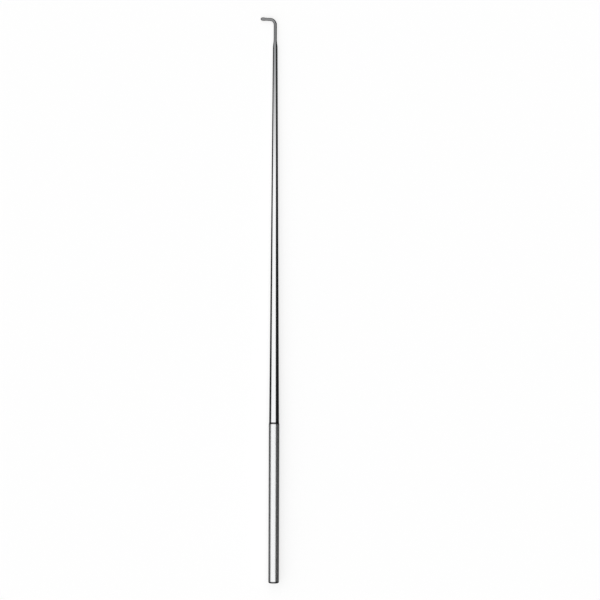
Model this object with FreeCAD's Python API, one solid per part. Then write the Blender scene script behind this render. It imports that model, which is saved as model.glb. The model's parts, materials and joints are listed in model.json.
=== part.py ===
import FreeCAD, Part
import math
import os

# Long, slender surgical hook, one piece of stainless steel bar with a plain round handle.
# The shaft is ground to a long taper from a small shoulder at the handle, drawn down to a thin neck,
# bent to about a right angle, and ends in a short arm with a slightly swollen, blunt tip.
#
# The bar is drawn straight along +X, with the middle of its butt end at the origin and the arm
# pointing to +Y. It is then laid down the way it comes to rest on a flat surface.

# Driving dimensions, in millimetres and degrees
overall_length = 254.0
handle_diameter = 4.76
handle_length = 71.5
butt_rounding = 0.7
shoulder_step = 0.15
shoulder_rim_rounding = 0.04
shoulder_foot_fillet = 0.08
long_taper_end_diameter = 2.08
draw_down_length = 4.0
neck_diameter = 1.35
neck_length = 6.5
bend_radius = 2.4
bend_angle = 87.0
hook_reach = 6.6
arm_waist_diameter = 1.28
tip_diameter = 1.5
tip_swell_length = 1.9
tip_nose_length = 1.0

# The surfaces of revolution close in a seam along the back, at this angle from the side of the arm
seam_angle = 181.2
full_turn = 360.0

# Radii and directions that follow from them
handle_radius = handle_diameter / 2
shaft_root_radius = handle_radius - shoulder_step
long_taper_end_radius = long_taper_end_diameter / 2
neck_radius = neck_diameter / 2
arm_waist_radius = arm_waist_diameter / 2
tip_radius = tip_diameter / 2
bend = math.radians(bend_angle)
bar_axis = FreeCAD.Vector(1, 0, 0)
arm_side = FreeCAD.Vector(0, 1, 0)
upwards = FreeCAD.Vector(0, 0, 1)

# Places along the arm, from the end of the bend
bend_sideways = bend_radius * (1 - math.cos(bend))
arm_length = (hook_reach - bend_sideways) / math.sin(bend)
tip_fattest_at = arm_length - tip_nose_length
arm_waist_at = tip_fattest_at - tip_swell_length

# Places along the bar, from the butt end: the far side of the hook is the tip or the outside of the bend
tip_rise = bend_radius * math.sin(bend) + tip_fattest_at * math.cos(bend)
bend_rise = (bend_radius + neck_radius) * math.sin(min(bend, math.pi / 2))
bend_start_at = overall_length - max(tip_rise + tip_radius, bend_rise)
neck_start_at = bend_start_at - neck_length
draw_down_start_at = neck_start_at - draw_down_length

# How the hook lies at rest, touching at the shoulder's rim, the shaft's taper and the tip. It balances
# ahead of the shoulder, so the hook's end drops until the taper meets the surface, or the bend if that
# is lower, and it rolls until the tip is down too.
drop_to_taper = math.atan2(handle_radius - long_taper_end_radius, draw_down_start_at - handle_length)
drop_to_bend = math.atan2(handle_radius - neck_radius, bend_start_at - handle_length)
pitch = min(drop_to_taper, drop_to_bend)
tip_ahead_of_rim = bend_start_at + tip_rise - handle_length
tip_sideways = bend_sideways + tip_fattest_at * math.sin(bend)
tip_clearance = handle_radius * math.cos(pitch) - tip_ahead_of_rim * math.sin(pitch) - tip_radius
roll = -math.asin(tip_clearance / (tip_sideways * math.cos(pitch)))


def point(along, radius):
    """A point of a turned profile: how far along the axis, and how far out from it."""
    return FreeCAD.Vector(along, radius, 0)


def straight(start, end):
    """A straight edge of a profile."""
    return Part.LineSegment(start, end).toShape()


def rounding(centre, radius, first_degree, last_degree):
    """An arc of a profile, counterclockwise about its centre."""
    circle = Part.Circle(centre, upwards, radius)
    return Part.ArcOfCircle(circle, math.radians(first_degree), math.radians(last_degree)).toShape()


def easing(start, end, start_slope=0.0):
    """A smooth S-shaped edge that leaves at a slope and arrives parallel to the axis."""
    third = (end.x - start.x) / 3
    curve = Part.BezierCurve()
    curve.setPoles([
        start,
        start + FreeCAD.Vector(third, third * start_slope, 0),
        end - FreeCAD.Vector(third, 0, 0),
        end,
    ])
    return curve.toShape()


def quarter_ellipse(start, end):
    """An edge that leaves parallel to the axis and meets it squarely."""
    curve = Part.BezierCurve()
    curve.setPoles([start, point(end.x, start.y), end])
    curve.setWeight(2, math.sqrt(0.5))
    return curve.toShape()


def turned(edges):
    """A solid of revolution about the X axis, from the open outline of its upper half.

    The outline is swung to the side away from the arm first, so that the seam runs along the back.
    """
    first = edges[0].Vertexes[0].Point
    last = edges[-1].Vertexes[-1].Point
    closing = straight(last, first)
    face = Part.Face(Part.Wire(Part.__sortEdges__(edges + [closing])))
    face.rotate(FreeCAD.Vector(), bar_axis, seam_angle)
    return face.revolve(FreeCAD.Vector(), bar_axis, full_turn)


def straight_bar():
    """Handle, shoulder, long taper, draw-down and neck, up to where the bend starts."""
    butt_flat_radius = handle_radius - butt_rounding
    rim_at = handle_length - shoulder_rim_rounding
    rim_bottom = handle_radius - shoulder_rim_rounding
    foot_at = handle_length + shoulder_foot_fillet
    foot_top = shaft_root_radius + shoulder_foot_fillet
    taper_start = point(foot_at, shaft_root_radius)
    taper_end = point(draw_down_start_at, long_taper_end_radius)
    taper_slope = (taper_end.y - taper_start.y) / (taper_end.x - taper_start.x)
    neck_start = point(neck_start_at, neck_radius)
    neck_end = point(bend_start_at, neck_radius)
    return turned([
        straight(point(0, 0), point(0, butt_flat_radius)),
        rounding(point(butt_rounding, butt_flat_radius), butt_rounding, 90, 180),
        straight(point(butt_rounding, handle_radius), point(rim_at, handle_radius)),
        rounding(point(rim_at, rim_bottom), shoulder_rim_rounding, 0, 90),
        straight(point(handle_length, rim_bottom), point(handle_length, foot_top)),
        rounding(point(foot_at, foot_top), shoulder_foot_fillet, 180, 270),
        straight(taper_start, taper_end),
        easing(taper_end, neck_start, taper_slope),
        straight(neck_start, neck_end),
        straight(neck_end, point(bend_start_at, 0)),
    ])


def bent_neck():
    """The neck carried round the bend at its own diameter."""
    start = FreeCAD.Vector(bend_start_at, 0, 0)
    centre = start + arm_side * bend_radius
    section = Part.Face(Part.Wire(Part.makeCircle(neck_radius, start, bar_axis)))
    return section.revolve(centre, upwards, bend_angle)


def arm():
    """The short arm with its waist, swollen tip and blunt elliptical nose."""
    root = point(0, neck_radius)
    waist = point(arm_waist_at, arm_waist_radius)
    fattest = point(tip_fattest_at, tip_radius)
    straight_arm = turned([
        straight(point(0, 0), root),
        easing(root, waist),
        easing(waist, fattest),
        quarter_ellipse(fattest, point(arm_length, 0)),
    ])
    straight_arm.rotate(FreeCAD.Vector(), upwards, bend_angle)
    bend_end_along = bend_start_at + bend_radius * math.sin(bend)
    straight_arm.translate(FreeCAD.Vector(bend_end_along, bend_sideways, 0))
    return straight_arm


def laid_down(hook):
    """The hook as it lies at rest, with the origin on the surface, below the middle of its box."""
    hook.rotate(FreeCAD.Vector(), bar_axis, math.degrees(roll))
    hook.rotate(FreeCAD.Vector(), arm_side, math.degrees(pitch))
    box = hook.optimalBoundingBox(False)
    hook.translate(FreeCAD.Vector(-box.Center.x, -box.Center.y, -box.ZMin))
    return hook


def build_hook():
    """The whole hook as one solid, lying at rest."""
    one_piece = straight_bar().multiFuse([bent_neck(), arm()]).removeSplitter()
    return laid_down(one_piece.Solids[0])


hook = build_hook()
os.makedirs("parts", exist_ok=True)
hook.exportStep("parts/hook.step")
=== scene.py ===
import json
import math

import bmesh
import bpy
from bpy.props import FloatProperty, FloatVectorProperty, PointerProperty
from mathutils import Euler, Matrix, Vector
from mathutils.geometry import interpolate_bezier


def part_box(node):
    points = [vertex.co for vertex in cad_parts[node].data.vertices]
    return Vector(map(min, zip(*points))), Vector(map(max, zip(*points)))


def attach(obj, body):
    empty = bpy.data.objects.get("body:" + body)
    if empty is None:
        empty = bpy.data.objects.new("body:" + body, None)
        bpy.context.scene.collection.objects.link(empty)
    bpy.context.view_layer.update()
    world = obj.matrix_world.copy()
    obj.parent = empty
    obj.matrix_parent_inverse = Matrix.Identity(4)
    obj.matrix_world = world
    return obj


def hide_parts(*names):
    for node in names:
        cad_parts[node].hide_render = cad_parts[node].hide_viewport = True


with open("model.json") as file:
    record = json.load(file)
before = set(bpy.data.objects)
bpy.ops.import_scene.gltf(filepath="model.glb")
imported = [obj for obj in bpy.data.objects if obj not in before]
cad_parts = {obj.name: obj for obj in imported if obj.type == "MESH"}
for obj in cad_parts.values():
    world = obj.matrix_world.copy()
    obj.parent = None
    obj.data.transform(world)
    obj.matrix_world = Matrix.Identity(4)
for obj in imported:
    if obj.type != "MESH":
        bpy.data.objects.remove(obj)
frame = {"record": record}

bl_info = {
    "name": "Surgical hook",
    "version": (1, 0, 0),
    "blender": (4, 5, 0),
    "location": "3D View > Sidebar > Surgical hook",
    "description": "Makes a slender one-piece surgical hook, lying on a pale studio floor",
    "category": "Add Mesh",
}

MM = 0.001
MOUNTS = {mount["name"]: mount for mount in frame["record"]["mounts"]}
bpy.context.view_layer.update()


def length(name, description, millimetres):
    """A length that a user may change. It is kept in metres."""
    return FloatProperty(
        name=name, description=description, default=millimetres * MM, min=0.0, unit="LENGTH", precision=5
    )


def share(name, description, value):
    """A plain number from 0 to 1 that a user may change."""
    return FloatProperty(
        name=name, description=description, default=value, min=0.0, max=1.0, subtype="FACTOR"
    )


def brightness(name, description, value):
    """How bright something is, as a number that a user may change."""
    return FloatProperty(name=name, description=description, default=value, min=0.0)


def colour(name, description, value):
    """A colour that a user may change."""
    return FloatVectorProperty(
        name=name, description=description, default=value, min=0.0, max=1.0, size=3, subtype="COLOR"
    )


class HookSizes(bpy.types.PropertyGroup):
    """The sizes of the hook, from its butt end to its tip."""

    overall_length: length("Overall length", "From the butt end to the far side of the hook", 254.0)
    handle_diameter: length(
        "Handle diameter", "Thickness of the round handle", 2 * MOUNTS["handle"]["dims"]["r_mm"]
    )
    handle_length: length("Handle length", "From the butt end to the shoulder", 71.5)
    butt_rounding: length("Butt rounding", "Radius round the butt end", 0.7)
    shoulder_step: length("Shoulder step", "How far the shaft lies inside the handle", 0.15)
    rim_rounding: length("Rim rounding", "Radius on the shoulder's rim", 0.04)
    foot_fillet: length("Foot fillet", "Radius at the foot of the shoulder", 0.08)
    taper_end_diameter: length("Taper end diameter", "Thickness at the end of the long taper", 2.08)
    draw_down_length: length("Draw-down length", "From the long taper to the neck", 4.0)
    neck_diameter: length("Neck diameter", "Thickness of the neck and the bend", 1.35)
    neck_length: length("Neck length", "Straight neck before the bend", 6.5)
    bend_radius: length("Bend radius", "Radius of the middle line of the bend", 2.4)
    hook_reach: length("Hook reach", "From the middle line of the bar to the end of the tip", 6.6)
    waist_diameter: length("Waist diameter", "Thickness of the arm at its waist", 1.28)
    tip_diameter: length("Tip diameter", "Thickness of the swollen tip", 1.5)
    swell_length: length("Swell length", "From the waist to the thickest part of the tip", 1.9)
    nose_length: length("Nose length", "From the thickest part of the tip to its end", 1.0)
    bend_angle: FloatProperty(
        name="Bend angle",
        description="How far the arm is bent from the line of the bar",
        default=math.radians(87.0),
        min=0.0,
        max=math.pi,
        subtype="ANGLE",
    )


class HookFinish(bpy.types.PropertyGroup):
    """The finish of the steel."""

    steel: colour("Steel", "Colour of the clean, polished steel", (0.88, 0.885, 0.89))
    steel_shade: colour("Steel shade", "Colour of its slightly darker patches", (0.83, 0.837, 0.846))
    # Painted shade: the bend and the tip get a much darker colour than their steel has
    tip_painted_shade: colour("Steel tip", "Darker colour of the mirror-polished end", (0.235, 0.238, 0.244))
    # Painted shade: the colour of the dark lines at the shoulder's corner and round the butt end
    line_painted_shade: colour("Steel line", "Colour of the fine lines round the bar", (0.09, 0.09, 0.093))
    handle_roughness: share("Handle roughness", "Satin finish of the handle", 0.24)
    handle_scatter: share("Handle scatter", "How much light the satin handle scatters evenly", 0.10)
    shaft_roughness: share("Shaft roughness", "Polish of the shaft", 0.14)
    tip_roughness: share("Tip roughness", "Polish of the bend and the tip", 0.09)


class StudioLook(bpy.types.PropertyGroup):
    """The floor and the light."""

    floor: colour("Floor", "Colour of the pale floor", (0.36, 0.36, 0.36))
    floor_glow: brightness("Floor glow", "Light that comes through the floor from below", 1.88)
    light: brightness("Light", "Brightness of the studio's soft light", 1.07)
    backdrop: brightness("Backdrop", "Brightness of the plain backdrop past the floor", 1.0)


# Directions in the bar's own frame
BAR_AXIS = Vector((1.0, 0.0, 0.0))
ARM_SIDE = Vector((0.0, 1.0, 0.0))
UPWARDS = Vector((0.0, 0.0, 1.0))

# Fineness of the mesh
SIDES = 96
RING_SPACING = 4.0 * MM
DRAW_DOWN_RINGS = 10
BEND_STEPS = 40
ARM_RINGS = 12
NOSE_RINGS = 16
ROUNDING_STEPS = 6
MERGE_DISTANCE = 0.001 * MM


class Layout:
    """Places along the bar and the arm that follow from the sizes, in the bar's own frame."""

    def __init__(self, sizes):
        self.handle_radius = sizes.handle_diameter / 2
        self.shaft_root_radius = self.handle_radius - sizes.shoulder_step
        self.taper_end_radius = sizes.taper_end_diameter / 2
        self.neck_radius = sizes.neck_diameter / 2
        self.waist_radius = sizes.waist_diameter / 2
        self.tip_radius = sizes.tip_diameter / 2
        self.bend = sizes.bend_angle
        self.bend_sideways = sizes.bend_radius * (1 - math.cos(self.bend))
        self.arm_length = (sizes.hook_reach - self.bend_sideways) / math.sin(self.bend)
        self.fattest_at = self.arm_length - sizes.nose_length
        self.waist_at = self.fattest_at - sizes.swell_length
        self.tip_rise = sizes.bend_radius * math.sin(self.bend) + self.fattest_at * math.cos(self.bend)
        bend_rise = (sizes.bend_radius + self.neck_radius) * math.sin(min(self.bend, math.pi / 2))
        far_side = max(self.tip_rise + self.tip_radius, bend_rise)
        self.bend_start_at = sizes.overall_length - far_side
        self.neck_start_at = self.bend_start_at - sizes.neck_length
        self.draw_down_at = self.neck_start_at - sizes.draw_down_length
        self.bend_centre = Vector((self.bend_start_at, sizes.bend_radius, 0.0))
        self.arm_root = Vector(
            (self.bend_start_at + sizes.bend_radius * math.sin(self.bend), self.bend_sideways, 0.0)
        )
        self.arm_direction = Vector((math.cos(self.bend), math.sin(self.bend), 0.0))
        self.arm_outwards = Vector((-math.sin(self.bend), math.cos(self.bend), 0.0))
        self.pose = self.resting_pose()

    def resting_pose(self):
        """Where the bar lies: the frame gives its butt end and axis, and it rolls until the tip is down."""
        butt = Vector(MOUNTS["butt_face"]["pos_m"])
        axis = -Vector(MOUNTS["butt_face"]["axis"])
        pitch = math.atan2(-axis.z, axis.x)
        tip_along = self.bend_start_at + self.tip_rise
        tip_sideways = self.bend_sideways + self.fattest_at * math.sin(self.bend)
        tip_drop = self.tip_radius - butt.z + tip_along * math.sin(pitch)
        roll = math.asin(tip_drop / (tip_sideways * math.cos(pitch)))
        return Matrix.Translation(butt) @ Matrix.Rotation(pitch, 4, "Y") @ Matrix.Rotation(roll, 4, "X")


def run(start, end):
    """The points of a straight stretch of an outline, without its start."""
    count = max(1, round((end - start).length / RING_SPACING))
    return [start.lerp(end, step / count) for step in range(1, count + 1)]


def easing(start, end, rings, start_slope=0.0):
    """The points of a smooth stretch that leaves at a slope and ends along the axis, without its start."""
    third = (end.x - start.x) / 3
    leaving = start + Vector((third, third * start_slope))
    arriving = end - Vector((third, 0.0))
    return interpolate_bezier(start, leaving, arriving, end, rings + 1)[1:]


def nose(start, end):
    """The points of a quarter of an ellipse down to the axis, without its start."""
    reach = end.x - start.x
    turns = [math.pi / 2 * step / NOSE_RINGS for step in range(1, NOSE_RINGS)]
    rounded = [Vector((start.x + reach * math.sin(turn), start.y * math.cos(turn))) for turn in turns]
    return rounded + [end]


def bar_outline(sizes, layout):
    """The straight bar as points of (along, radius) with square corners, from the butt end to the bend."""
    centre = Vector((0.0, 0.0))
    butt = Vector((0.0, layout.handle_radius))
    rim = Vector((sizes.handle_length, layout.handle_radius))
    foot = Vector((sizes.handle_length, layout.shaft_root_radius))
    taper_end = Vector((layout.draw_down_at, layout.taper_end_radius))
    slope = (taper_end.y - foot.y) / (taper_end.x - foot.x)
    neck = Vector((layout.neck_start_at, layout.neck_radius))
    bend_start = Vector((layout.bend_start_at, layout.neck_radius))
    outline = [centre, butt]
    outline += run(butt, rim)
    outline += [foot]
    outline += run(foot, taper_end)
    outline += easing(taper_end, neck, DRAW_DOWN_RINGS, slope)
    outline += run(neck, bend_start)
    return outline


def arm_outline(layout):
    """The arm as points of (along, radius), from the bend to the end of the tip."""
    root = Vector((0.0, layout.neck_radius))
    waist = Vector((layout.waist_at, layout.waist_radius))
    fattest = Vector((layout.fattest_at, layout.tip_radius))
    end = Vector((layout.arm_length, 0.0))
    return [root] + easing(root, waist, ARM_RINGS) + easing(waist, fattest, ARM_RINGS) + nose(fattest, end)


def turn(mesh, outline, start, axis, outwards):
    """Spins an outline right round an axis."""
    points = [mesh.verts.new(start + axis * point.x + outwards * point.y) for point in outline]
    edges = [mesh.edges.new(pair) for pair in zip(points, points[1:])]
    bmesh.ops.spin(
        mesh, geom=points + edges, cent=start, axis=axis, angle=2 * math.pi, steps=SIDES,
        use_merge=True, use_duplicate=False,
    )
    bmesh.ops.remove_doubles(mesh, verts=mesh.verts[:], dist=MERGE_DISTANCE)


def ring(mesh, along, radius):
    """The edges that go round the bar at one place."""
    def on_ring(vertex):
        out = math.hypot(vertex.co.y, vertex.co.z)
        return abs(vertex.co.x - along) < MERGE_DISTANCE and abs(out - radius) < MERGE_DISTANCE
    return [edge for edge in mesh.edges if all(on_ring(vertex) for vertex in edge.verts)]


def round_over(mesh, along, radius, rounding):
    """Rounds the corner that goes round the bar at one place."""
    bmesh.ops.bevel(
        mesh, geom=ring(mesh, along, radius), offset=rounding, offset_type="OFFSET",
        segments=ROUNDING_STEPS, profile=0.5, affect="EDGES", material=-1, clamp_overlap=False,
    )


def hook_mesh(sizes, layout):
    """The whole hook as one closed mesh, lying at rest."""
    mesh = bmesh.new()
    turn(mesh, bar_outline(sizes, layout), Vector(), BAR_AXIS, ARM_SIDE)
    round_over(mesh, 0.0, layout.handle_radius, sizes.butt_rounding)
    round_over(mesh, sizes.handle_length, layout.handle_radius, sizes.rim_rounding)
    round_over(mesh, sizes.handle_length, layout.shaft_root_radius, sizes.foot_fillet)
    neck_end = ring(mesh, layout.bend_start_at, layout.neck_radius)
    bmesh.ops.spin(
        mesh, geom=neck_end, cent=layout.bend_centre, axis=UPWARDS, angle=layout.bend,
        steps=BEND_STEPS, use_duplicate=False,
    )
    turn(mesh, arm_outline(layout), layout.arm_root, layout.arm_direction, layout.arm_outwards)
    bmesh.ops.transform(mesh, matrix=layout.pose, verts=mesh.verts[:])
    bmesh.ops.recalc_face_normals(mesh, faces=mesh.faces[:])
    open_edges = [edge for edge in mesh.edges if not edge.is_manifold]
    if open_edges:
        raise RuntimeError(f"the hook isn't closed: {len(open_edges)} open edges")
    return mesh


def add_piece(name, mesh, material):
    """A mesh made into an object that sits at the origin."""
    data = bpy.data.meshes.new(name)
    mesh.to_mesh(data)
    mesh.free()
    data.materials.append(material)
    piece = bpy.data.objects.new(name, data)
    bpy.context.scene.collection.objects.link(piece)
    return piece


class Socket:
    """A socket of a node, which sums can be written with."""

    def __init__(self, shader, socket):
        self.shader = shader
        self.socket = socket

    def maths(self, operation, first, second):
        """Adds a Math node."""
        return self.shader.node("ShaderNodeMath", {"operation": operation}, {0: first, 1: second})["Value"]

    def __add__(self, other):
        return self.maths("ADD", self, other)

    def __sub__(self, other):
        return self.maths("SUBTRACT", self, other)

    def __rsub__(self, other):
        return self.maths("SUBTRACT", other, self)

    def __mul__(self, other):
        return self.maths("MULTIPLY", self, other)

    __radd__ = __add__
    __rmul__ = __mul__


class Node:
    """A node whose outputs are read by name."""

    def __init__(self, shader, node):
        self.shader = shader
        self.outputs = node.outputs

    def __getitem__(self, name):
        return Socket(self.shader, self.outputs[name])


class Shader:
    """The nodes of a material or of the world."""

    def __init__(self, owner):
        owner.use_nodes = True
        self.tree = owner.node_tree
        self.tree.nodes.clear()

    def node(self, kind, settings, sockets):
        """Adds a node. Its settings come first, and then the values or links of its sockets."""
        node = self.tree.nodes.new(kind)
        for name, value in settings.items():
            setattr(node, name, value)
        for name, value in sockets.items():
            if isinstance(value, Socket):
                self.tree.links.new(value.socket, node.inputs[name])
            else:
                node.inputs[name].default_value = value
        return Node(self, node)

    def step(self, value, low, high, before=0.0, after=1.0):
        """Goes smoothly from one number to another while value goes from low to high."""
        return self.node(
            "ShaderNodeMapRange",
            {"interpolation_type": "SMOOTHSTEP"},
            {"Value": value, "From Min": low, "From Max": high, "To Min": before, "To Max": after},
        )["Result"]

    def band(self, value, low, high, blend):
        """1 while value is between two numbers and 0 elsewhere, with soft edges."""
        entered = self.step(value, low - blend / 2, low + blend / 2)
        left = self.step(value, high - blend / 2, high + blend / 2)
        return entered - left

    def noise(self, place, detail):
        """Soft noise from 0 to 1 that changes about once in each unit of place."""
        return self.node(
            "ShaderNodeTexNoise",
            {"noise_dimensions": "3D"},
            {"Vector": place, "Scale": 1.0, "Detail": detail},
        )["Fac"]

    def mix(self, factor, first, second):
        """One colour turning into another."""
        first, second = (one if isinstance(one, Socket) else opaque(one) for one in (first, second))
        return self.node(
            "ShaderNodeMix", {"data_type": "RGBA"}, {"Factor": factor, "A": first, "B": second}
        )["Result"]

    def stretched(self, place, along, across):
        """A place whose units are along and across metres long."""
        return self.node(
            "ShaderNodeVectorMath",
            {"operation": "MULTIPLY"},
            {0: place, 1: (1 / along, 1 / across, 1 / across)},
        )["Vector"]


def opaque(value):
    """A colour with its alpha, as a node's socket takes it."""
    return (*value, 1.0)


# Marks in the steel: how long they are along the bar and across it, and how deep they are
GRINDING_ALONG = 0.22 * MM
GRINDING_ACROSS = 6.0 * MM
GRINDING_DEPTH = 0.0015 * MM
POLISHING_ALONG = 9.0 * MM
POLISHING_ACROSS = 0.16 * MM
POLISHING_DEPTH = 0.0012 * MM
MARK_DETAIL = 2.0
# Patches in the finish, a little lighter or darker and smoother or duller than the rest
PATCH_ALONG = 14.0 * MM
PATCH_ACROSS = 5.0 * MM
PATCH_DETAIL = 4.0
# How much the grinding marks and the patches change the roughness
GRINDING_UNEVENNESS = 0.10
PATCH_UNEVENNESS = 0.07
NOISE_MIDDLE = 0.5
# Where satin turns into polish at the shoulder, and how far before the bend the last polish and the painted
# shade towards the tip start
SHOULDER_BLEND = 0.02 * MM
TIP_POLISH_AND_SHADE_LENGTH = 80.0 * MM
# Both ends of the handle are worn smooth: how far from the edge, and how much smoother
EDGE_WEAR = 0.5 * MM
EDGE_WEAR_POLISH = 0.12
# Fine dark lines of painted shade round the bar, in the shoulder's corner and round the butt end: where
# they start and end, from the shoulder and from the butt end
SHOULDER_LINE = (-0.15 * MM, 0.7 * MM)
BUTT_LINE = (0.06 * MM, 0.8 * MM)
LINE_BLEND = 0.1 * MM


def place_on_bar(shader, layout):
    """The place on the bar as the bar's own frame has it, with X along it from the butt end."""
    place = shader.node("ShaderNodeTexCoord", {}, {})["Object"]
    return shader.node(
        "ShaderNodeMapping",
        {"vector_type": "TEXTURE"},
        {"Vector": place, "Location": layout.pose.to_translation(), "Rotation": layout.pose.to_euler()},
    )["Vector"]


def worn_edges(shader, along, on_handle, sizes):
    """1 at both ends of the handle, where use has worn it smooth, and 0 elsewhere."""
    shoulder = sizes.handle_length
    worn_butt = shader.step(along, 0.0, sizes.butt_rounding + EDGE_WEAR, before=1.0, after=0.0)
    worn_rim = shader.step(along, shoulder - EDGE_WEAR, shoulder) * on_handle
    return worn_butt + worn_rim


def painted_shade_lines(shader, along, sizes):
    """1 on the fine lines of painted shade at the shoulder and round the butt end, and 0 elsewhere."""
    shoulder_line = shader.band(along - sizes.handle_length, *SHOULDER_LINE, LINE_BLEND)
    butt_line = shader.band(along, *BUTT_LINE, LINE_BLEND)
    return shoulder_line + butt_line


def stainless_steel(sizes, finish, layout):
    """Stainless steel: a finely ground satin handle, and a shaft that is polished up to a bright tip. Its
    colour carries painted shade: it darkens towards the tip, and dark lines are painted at the shoulder and
    round the butt end.
    """
    material = bpy.data.materials.new("stainless_steel")
    shader = Shader(material)
    on_bar = place_on_bar(shader, layout)
    along = shader.node("ShaderNodeSeparateXYZ", {}, {"Vector": on_bar})["X"]

    shoulder = sizes.handle_length
    on_shaft = shader.step(along, shoulder - SHOULDER_BLEND, shoulder + SHOULDER_BLEND)
    on_handle = 1 - on_shaft
    # Painted shade: over this stretch the colour darkens towards the tip, while the polish also grows finer
    near_tip_polish_and_shade = shader.step(along, layout.bend_start_at - TIP_POLISH_AND_SHADE_LENGTH, layout.bend_start_at)
    on_plain_shaft = on_shaft - near_tip_polish_and_shade
    worn = worn_edges(shader, along, on_handle, sizes)

    grinding = shader.noise(shader.stretched(on_bar, GRINDING_ALONG, GRINDING_ACROSS), MARK_DETAIL)
    polishing = shader.noise(shader.stretched(on_bar, POLISHING_ALONG, POLISHING_ACROSS), MARK_DETAIL)
    patches = shader.noise(shader.stretched(on_bar, PATCH_ALONG, PATCH_ACROSS), PATCH_DETAIL)
    height = grinding * on_handle * GRINDING_DEPTH + polishing * on_plain_shaft * POLISHING_DEPTH
    bump = shader.node("ShaderNodeBump", {}, {"Height": height, "Distance": 1.0, "Strength": 1.0})

    even_roughness = (
        on_handle * finish.handle_roughness
        + on_plain_shaft * finish.shaft_roughness
        + near_tip_polish_and_shade * finish.tip_roughness
    )
    unevenness = (
        (grinding - NOISE_MIDDLE) * on_handle * GRINDING_UNEVENNESS
        + (patches - NOISE_MIDDLE) * PATCH_UNEVENNESS
    )
    roughness = even_roughness + unevenness - worn * EDGE_WEAR_POLISH
    metallic = 1 - on_handle * finish.handle_scatter

    clean = shader.mix(patches, finish.steel_shade, finish.steel)
    # Painted shade: the colour darkens towards the tip
    polished = shader.mix(near_tip_polish_and_shade, clean, finish.tip_painted_shade)
    # Painted shade: dark lines at the shoulder's corner and round the butt end
    tint = shader.mix(painted_shade_lines(shader, along, sizes), polished, finish.line_painted_shade)
    surface = shader.node(
        "ShaderNodeBsdfPrincipled",
        {},
        {"Base Color": tint, "Metallic": metallic, "Roughness": roughness, "Normal": bump["Normal"]},
    )["BSDF"]
    shader.node("ShaderNodeOutputMaterial", {}, {"Surface": surface})
    return material


FLOOR_ROUGHNESS = 0.9


def pale_floor(look):
    """A plain matt floor that is also lit from below, so that shadows on it stay faint."""
    material = bpy.data.materials.new("pale_floor")
    shader = Shader(material)
    surface = shader.node(
        "ShaderNodeBsdfPrincipled",
        {},
        {
            "Base Color": opaque(look.floor),
            "Roughness": FLOOR_ROUGHNESS,
            "Specular IOR Level": 0.0,
            "Emission Color": opaque(look.floor),
            "Emission Strength": look.floor_glow,
        },
    )["BSDF"]
    shader.node("ShaderNodeOutputMaterial", {}, {"Surface": surface})
    return material


class SURGICAL_HOOK_OT_make_hook(bpy.types.Operator):
    """Make the hook as one smooth piece that lies as it comes to rest"""

    bl_idname = "surgical_hook.make_hook"
    bl_label = "Make hook"

    def execute(self, context):
        sizes = context.scene.hook_sizes
        layout = Layout(sizes)
        mesh = hook_mesh(sizes, layout)
        for face in mesh.faces:
            face.smooth = True
        hook = add_piece("steel_hook", mesh, stainless_steel(sizes, context.scene.hook_finish, layout))
        even_shading = hook.modifiers.new("Even shading", "WEIGHTED_NORMAL")
        even_shading.keep_sharp = True
        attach(hook, "root")
        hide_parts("hook")
        return {"FINISHED"}


# The picture's frame in pixels, where the hook lies in it, how it leans there, and the picture's scale
PICTURE_SIZE = 600
PICTURE_MIDDLE = (PICTURE_SIZE - 1) / 2
BAR_AT_PIXEL_X = 273.95
HOOK_TOP_AT_PIXEL_Y = 16.5
LEAN = math.radians(0.17)
METRES_PER_PIXEL = 0.4486 * MM
# The camera's lens in its usual millimetres, and the width of the floor in metres
LENS = 150.0
FLOOR_SIZE = 6.0


def add_camera(scene):
    """A long lens that looks straight down, with the hook's end at the top of the picture."""
    low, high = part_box("hook")
    butt = MOUNTS["butt_face"]["pos_m"]
    along = high.x - (PICTURE_MIDDLE - HOOK_TOP_AT_PIXEL_Y) * METRES_PER_PIXEL
    across = butt[1] - (PICTURE_MIDDLE - BAR_AT_PIXEL_X) * METRES_PER_PIXEL
    data = bpy.data.cameras.new("camera")
    data.lens = LENS
    distance = PICTURE_SIZE * METRES_PER_PIXEL * data.lens / data.sensor_width
    camera = bpy.data.objects.new("camera", data)
    camera.location = (along, across, high.z / 2 + distance)
    camera.rotation_euler = Euler((0.0, 0.0, LEAN - math.pi / 2))
    scene.collection.objects.link(camera)
    scene.camera = camera


# The soft light: its colour, how far it reaches past straight above to the right, and how it fades there
LIGHT_COLOUR = (1.0, 1.0, 1.0)
LIGHT_REACH = math.radians(36.5)
LIGHT_EDGE = 0.12
# Heights of a direction, from -1 straight down to 1 straight up, between which the brightness changes
LIGHT_FALL = (0.0, 0.6)
LIGHT_BOTTOM = (0.15, 0.50)
POOL_EDGE = (-0.85, -0.5)
# How much lower the light reaches in the studio's corners, where neither the bar nor the arm points
LOWER_IN_CORNERS = 2.0
# Brightness as a share of the light's
LOW_LIGHT = 0.75
POOL_LIGHT = 0.09
DARK_SIDE = 0.01
END_LIGHT = 0.2


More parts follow.
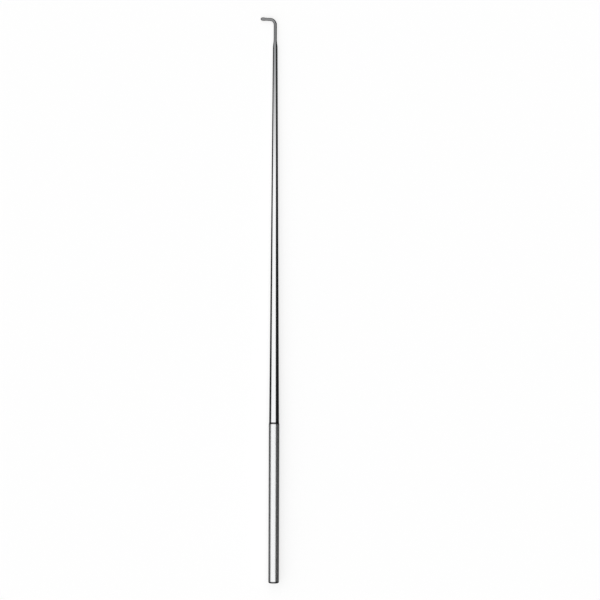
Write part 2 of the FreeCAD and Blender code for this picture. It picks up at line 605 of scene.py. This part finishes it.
def add_light(scene, look):
    """One broad, soft light above and to the left, and a dark side to the right.

    A little light comes from low down and from where the two ends of the bar point. None of it shows in
    the picture itself, where the studio ends in a plain, pale backdrop.
    """
    world = bpy.data.worlds.new("studio_light")
    scene.world = world
    shader = Shader(world)
    direction = shader.node("ShaderNodeTexCoord", {}, {})["Generated"]
    towards_light = Vector((0.0, math.cos(LIGHT_REACH), math.sin(LIGHT_REACH)))
    facing = shader.node(
        "ShaderNodeVectorMath", {"operation": "DOT_PRODUCT"}, {0: direction, 1: towards_light}
    )["Value"]
    parts = shader.node("ShaderNodeSeparateXYZ", {}, {"Vector": direction})
    height = parts["Z"]
    towards_ends = parts["X"] * parts["X"]
    towards_corners = towards_ends * parts["Y"] * parts["Y"]

    from_left = shader.step(facing, -LIGHT_EDGE, LIGHT_EDGE)
    from_above = shader.step(height + towards_corners * LOWER_IN_CORNERS, *LIGHT_BOTTOM)
    fall = shader.step(height, *LIGHT_FALL, before=LOW_LIGHT)
    pool = shader.step(height, *POOL_EDGE, before=POOL_LIGHT, after=0.0)
    light = from_left * from_above * fall + pool + towards_ends * END_LIGHT + DARK_SIDE

    in_picture = shader.node("ShaderNodeLightPath", {}, {})["Is Camera Ray"]
    strength = (1 - in_picture) * light * look.light + in_picture * look.backdrop
    background = shader.node(
        "ShaderNodeBackground", {}, {"Color": opaque(LIGHT_COLOUR), "Strength": strength}
    )["Background"]
    shader.node("ShaderNodeOutputWorld", {}, {"Surface": background})


class SURGICAL_HOOK_OT_make_stage(bpy.types.Operator):
    """Make the pale floor, the soft light and the camera"""

    bl_idname = "surgical_hook.make_stage"
    bl_label = "Make stage"

    def execute(self, context):
        scene = context.scene
        look = scene.studio_look
        mesh = bmesh.new()
        bmesh.ops.create_grid(mesh, x_segments=1, y_segments=1, size=FLOOR_SIZE / 2)
        floor = add_piece("floor", mesh, pale_floor(look))
        # The steel mirrors the light and the dark side of the studio, not the floor
        floor.visible_glossy = False
        add_light(scene, look)
        add_camera(scene)
        scene.view_settings.view_transform = "Standard"
        return {"FINISHED"}


class SURGICAL_HOOK_PT_panel(bpy.types.Panel):
    """Lists the pieces and what a user may change"""

    bl_label = "Surgical hook"
    bl_idname = "SURGICAL_HOOK_PT_panel"
    bl_space_type = "VIEW_3D"
    bl_region_type = "UI"
    bl_category = "Surgical hook"

    def draw(self, context):
        for group in (context.scene.hook_sizes, context.scene.hook_finish, context.scene.studio_look):
            column = self.layout.column()
            for name in group.__annotations__:
                column.prop(group, name)
        self.layout.operator(SURGICAL_HOOK_OT_make_hook.bl_idname)
        self.layout.operator(SURGICAL_HOOK_OT_make_stage.bl_idname)


CLASSES = (
    HookSizes,
    HookFinish,
    StudioLook,
    SURGICAL_HOOK_OT_make_hook,
    SURGICAL_HOOK_OT_make_stage,
    SURGICAL_HOOK_PT_panel,
)


def register():
    """Makes the hook's settings, operators and panel known to Blender."""
    for one in CLASSES:
        bpy.utils.register_class(one)
    bpy.types.Scene.hook_sizes = PointerProperty(type=HookSizes)
    bpy.types.Scene.hook_finish = PointerProperty(type=HookFinish)
    bpy.types.Scene.studio_look = PointerProperty(type=StudioLook)


def unregister():
    """Takes them out again."""
    del bpy.types.Scene.hook_sizes
    del bpy.types.Scene.hook_finish
    del bpy.types.Scene.studio_look
    for one in reversed(CLASSES):
        bpy.utils.unregister_class(one)


def main():
    """Makes the hook and its stage."""
    register()
    bpy.ops.surgical_hook.make_hook()
    bpy.ops.surgical_hook.make_stage()


if __name__ == "__main__":
    main()
